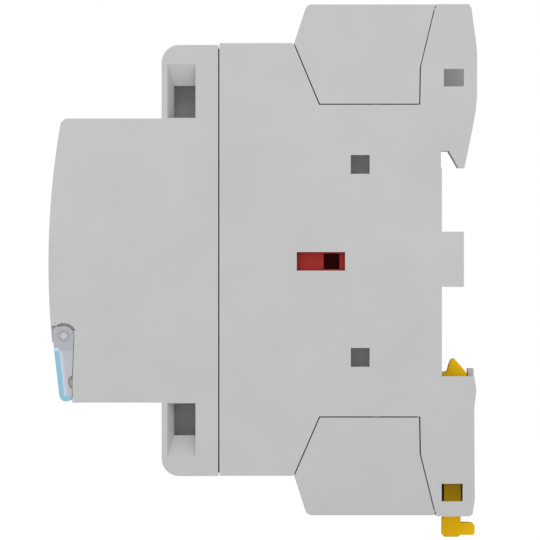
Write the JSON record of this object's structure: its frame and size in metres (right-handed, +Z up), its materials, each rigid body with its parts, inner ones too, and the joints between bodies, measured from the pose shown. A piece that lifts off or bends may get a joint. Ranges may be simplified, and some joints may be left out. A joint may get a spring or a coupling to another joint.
{
  "type": "din rail contactor",
  "caption": "Modular contactor for a 35 mm DIN rail: an electromagnet pulls a contact carrier that closes bridging power contacts between screw clamps above and below.",
  "frame": {"origin": "centre of the 35 mm rail's front plane, which is the seat face's plane, at mid width", "axes": "+Z up, -Y towards the device's front, +X to the right as seen from the front, across the width"},
  "size_m": [0.0356, 0.0682, 0.0849],
  "materials": {
    "housing_grey": "fine moulded texture",
    "carrier_red": "moulded",
    "indicator_red": "moulded",
    "clip_yellow": "moulded",
    "flap_tint": "transparent, tinted",
    "window_clear": "transparent",
    "card_white": "printed card",
    "bobbin_ivory": "moulded",
    "pad_rubber": "plain",
    "core_steel": "laminated",
    "zinc_steel": "zinc plated",
    "spring_steel": "drawn wire",
    "copper": "bright copper",
    "brass": "plain"
  },
  "bodies": {
    "housing": {"base_housing": "housing_grey", "front_cover": "housing_grey", "top_terminal_housing": "housing_grey", "bottom_terminal_housing": "housing_grey", "fixed_core": "core_steel", "shading_rings": "copper", "core_pads": "pad_rubber", "coil_bobbin": "bobbin_ivory", "coil_winding": "copper", "coil_lead_top": "brass", "coil_lead_bottom": "brass", "return_springs": "spring_steel", "indicator_window": "window_clear", "label_card": "card_white", "din_clip_spring": "spring_steel", "fixed_contact_top_1": "copper", "fixed_contact_top_2": "copper", "fixed_contact_top_3": "copper", "fixed_contact_top_4": "copper", "fixed_contact_bottom_1": "copper", "fixed_contact_bottom_2": "copper", "fixed_contact_bottom_3": "copper", "fixed_contact_bottom_4": "copper"},
    "carrier": {"contact_carrier": "carrier_red", "armature": "core_steel", "armature_pin": "zinc_steel", "position_indicator": "indicator_red", "contact_spring_1": "spring_steel", "contact_spring_2": "spring_steel", "contact_spring_3": "spring_steel", "contact_spring_4": "spring_steel"},
    "rail_clip": {"din_clip": "clip_yellow"},
    "flap": {"label_flap": "flap_tint"},
    "bridge_1": {"moving_contact_1": "copper"},
    "bridge_2": {"moving_contact_2": "copper"},
    "bridge_3": {"moving_contact_3": "copper"},
    "bridge_4": {"moving_contact_4": "copper"},
    "top_1_screw": {"clamp_screw_top_1": "zinc_steel"},
    "top_1_cage": {"clamp_cage_top_1": "zinc_steel"},
    "top_2_screw": {"clamp_screw_top_2": "zinc_steel"},
    "top_2_cage": {"clamp_cage_top_2": "zinc_steel"},
    "top_3_screw": {"clamp_screw_top_3": "zinc_steel"},
    "top_3_cage": {"clamp_cage_top_3": "zinc_steel"},
    "top_4_screw": {"clamp_screw_top_4": "zinc_steel"},
    "top_4_cage": {"clamp_cage_top_4": "zinc_steel"},
    "coil_top_screw": {"coil_screw_top": "zinc_steel"},
    "coil_top_cage": {"coil_cage_top": "zinc_steel"},
    "bottom_1_screw": {"clamp_screw_bottom_1": "zinc_steel"},
    "bottom_1_cage": {"clamp_cage_bottom_1": "zinc_steel"},
    "bottom_2_screw": {"clamp_screw_bottom_2": "zinc_steel"},
    "bottom_2_cage": {"clamp_cage_bottom_2": "zinc_steel"},
    "bottom_3_screw": {"clamp_screw_bottom_3": "zinc_steel"},
    "bottom_3_cage": {"clamp_cage_bottom_3": "zinc_steel"},
    "bottom_4_screw": {"clamp_screw_bottom_4": "zinc_steel"},
    "bottom_4_cage": {"clamp_cage_bottom_4": "zinc_steel"},
    "coil_bottom_screw": {"coil_screw_bottom": "zinc_steel"},
    "coil_bottom_cage": {"coil_cage_bottom": "zinc_steel"}
  },
  "joints": [
    {"name": "carrier_slide", "type": "slide", "parent": "housing", "child": "carrier", "axis": [0, -1, 0], "range_m": [0, 0.004], "stiffness_N_per_m": 400, "springref_m": -0.004, "deforming": ["return_springs"]},
    {"name": "bridge_slide_1", "type": "slide", "parent": "carrier", "child": "bridge_1", "axis": [0, 1, 0], "range_m": [0, 0.001], "deforming": ["contact_spring_1"]},
    {"name": "bridge_slide_2", "type": "slide", "parent": "carrier", "child": "bridge_2", "axis": [0, 1, 0], "range_m": [0, 0.001], "deforming": ["contact_spring_2"]},
    {"name": "bridge_slide_3", "type": "slide", "parent": "carrier", "child": "bridge_3", "axis": [0, 1, 0], "range_m": [0, 0.001], "deforming": ["contact_spring_3"]},
    {"name": "bridge_slide_4", "type": "slide", "parent": "carrier", "child": "bridge_4", "axis": [0, 1, 0], "range_m": [0, 0.001], "deforming": ["contact_spring_4"]},
    {"name": "rail_clip_slide", "type": "slide", "parent": "housing", "child": "rail_clip", "axis": [0, 0, -1], "range_m": [0, 0.0035], "stiffness_N_per_m": 250, "springref_m": -0.003, "deforming": ["din_clip_spring"]},
    {"name": "flap_hinge", "type": "hinge", "parent": "housing", "child": "flap", "pos_m": [0, -0.06015, -0.012], "axis": [-1, 0, 0], "range_deg": [0, 80]},
    {"name": "top_1_cage_slide", "type": "slide", "parent": "housing", "child": "top_1_cage", "axis": [0, -1, 0], "range_m": [0, 0.0042]},
    {"name": "top_1_screw_turn", "type": "hinge", "parent": "housing", "child": "top_1_screw", "pos_m": [-0.0132, -0.017, 0.0371], "axis": [0, 1, 0], "range_deg": [0, 2160]},
    {"name": "top_2_cage_slide", "type": "slide", "parent": "housing", "child": "top_2_cage", "axis": [0, -1, 0], "range_m": [0, 0.0042]},
    {"name": "top_2_screw_turn", "type": "hinge", "parent": "housing", "child": "top_2_screw", "pos_m": [-0.0044, -0.017, 0.0371], "axis": [0, 1, 0], "range_deg": [0, 2160]},
    {"name": "top_3_cage_slide", "type": "slide", "parent": "housing", "child": "top_3_cage", "axis": [0, -1, 0], "range_m": [0, 0.0042]},
    {"name": "top_3_screw_turn", "type": "hinge", "parent": "housing", "child": "top_3_screw", "pos_m": [0.0044, -0.017, 0.0371], "axis": [0, 1, 0], "range_deg": [0, 2160]},
    {"name": "top_4_cage_slide", "type": "slide", "parent": "housing", "child": "top_4_cage", "axis": [0, -1, 0], "range_m": [0, 0.0042]},
    {"name": "top_4_screw_turn", "type": "hinge", "parent": "housing", "child": "top_4_screw", "pos_m": [0.0132, -0.017, 0.0371], "axis": [0, 1, 0], "range_deg": [0, 2160]},
    {"name": "coil_top_cage_slide", "type": "slide", "parent": "housing", "child": "coil_top_cage", "axis": [0, -1, 0], "range_m": [0, 0.0017]},
    {"name": "coil_top_screw_turn", "type": "hinge", "parent": "housing", "child": "coil_top_screw", "pos_m": [-0.0096, -0.042, 0.0295], "axis": [0, 1, 0], "range_deg": [0, 1224]},
    {"name": "bottom_1_cage_slide", "type": "slide", "parent": "housing", "child": "bottom_1_cage", "axis": [0, -1, 0], "range_m": [0, 0.0042]},
    {"name": "bottom_1_screw_turn", "type": "hinge", "parent": "housing", "child": "bottom_1_screw", "pos_m": [-0.0132, -0.017, -0.0371], "axis": [0, 1, 0], "range_deg": [0, 2160]},
    {"name": "bottom_2_cage_slide", "type": "slide", "parent": "housing", "child": "bottom_2_cage", "axis": [0, -1, 0], "range_m": [0, 0.0042]},
    {"name": "bottom_2_screw_turn", "type": "hinge", "parent": "housing", "child": "bottom_2_screw", "pos_m": [-0.0044, -0.017, -0.0371], "axis": [0, 1, 0], "range_deg": [0, 2160]},
    {"name": "bottom_3_cage_slide", "type": "slide", "parent": "housing", "child": "bottom_3_cage", "axis": [0, -1, 0], "range_m": [0, 0.0042]},
    {"name": "bottom_3_screw_turn", "type": "hinge", "parent": "housing", "child": "bottom_3_screw", "pos_m": [0.0044, -0.017, -0.0371], "axis": [0, 1, 0], "range_deg": [0, 2160]},
    {"name": "bottom_4_cage_slide", "type": "slide", "parent": "housing", "child": "bottom_4_cage", "axis": [0, -1, 0], "range_m": [0, 0.0042]},
    {"name": "bottom_4_screw_turn", "type": "hinge", "parent": "housing", "child": "bottom_4_screw", "pos_m": [0.0132, -0.017, -0.0371], "axis": [0, 1, 0], "range_deg": [0, 2160]},
    {"name": "coil_bottom_cage_slide", "type": "slide", "parent": "housing", "child": "coil_bottom_cage", "axis": [0, -1, 0], "range_m": [0, 0.0017]},
    {"name": "coil_bottom_screw_turn", "type": "hinge", "parent": "housing", "child": "coil_bottom_screw", "pos_m": [-0.0096, -0.042, -0.0295], "axis": [0, 1, 0], "range_deg": [0, 1224]}
  ],
  "couplings": [
    {"joint": "bridge_slide_1", "follows": "carrier_slide", "ratio": 0.25},
    {"joint": "bridge_slide_2", "follows": "carrier_slide", "ratio": 0.25},
    {"joint": "bridge_slide_3", "follows": "carrier_slide", "ratio": 0.25},
    {"joint": "bridge_slide_4", "follows": "carrier_slide", "ratio": 0.25},
    {"joint": "top_1_screw_turn", "follows": "top_1_cage_slide", "rad_per_m": 8976},
    {"joint": "top_2_screw_turn", "follows": "top_2_cage_slide", "rad_per_m": 8976},
    {"joint": "top_3_screw_turn", "follows": "top_3_cage_slide", "rad_per_m": 8976},
    {"joint": "top_4_screw_turn", "follows": "top_4_cage_slide", "rad_per_m": 8976},
    {"joint": "coil_top_screw_turn", "follows": "coil_top_cage_slide", "rad_per_m": 12566},
    {"joint": "bottom_1_screw_turn", "follows": "bottom_1_cage_slide", "rad_per_m": 8976},
    {"joint": "bottom_2_screw_turn", "follows": "bottom_2_cage_slide", "rad_per_m": 8976},
    {"joint": "bottom_3_screw_turn", "follows": "bottom_3_cage_slide", "rad_per_m": 8976},
    {"joint": "bottom_4_screw_turn", "follows": "bottom_4_cage_slide", "rad_per_m": 8976},
    {"joint": "coil_bottom_screw_turn", "follows": "coil_bottom_cage_slide", "rad_per_m": 12566}
  ]
}
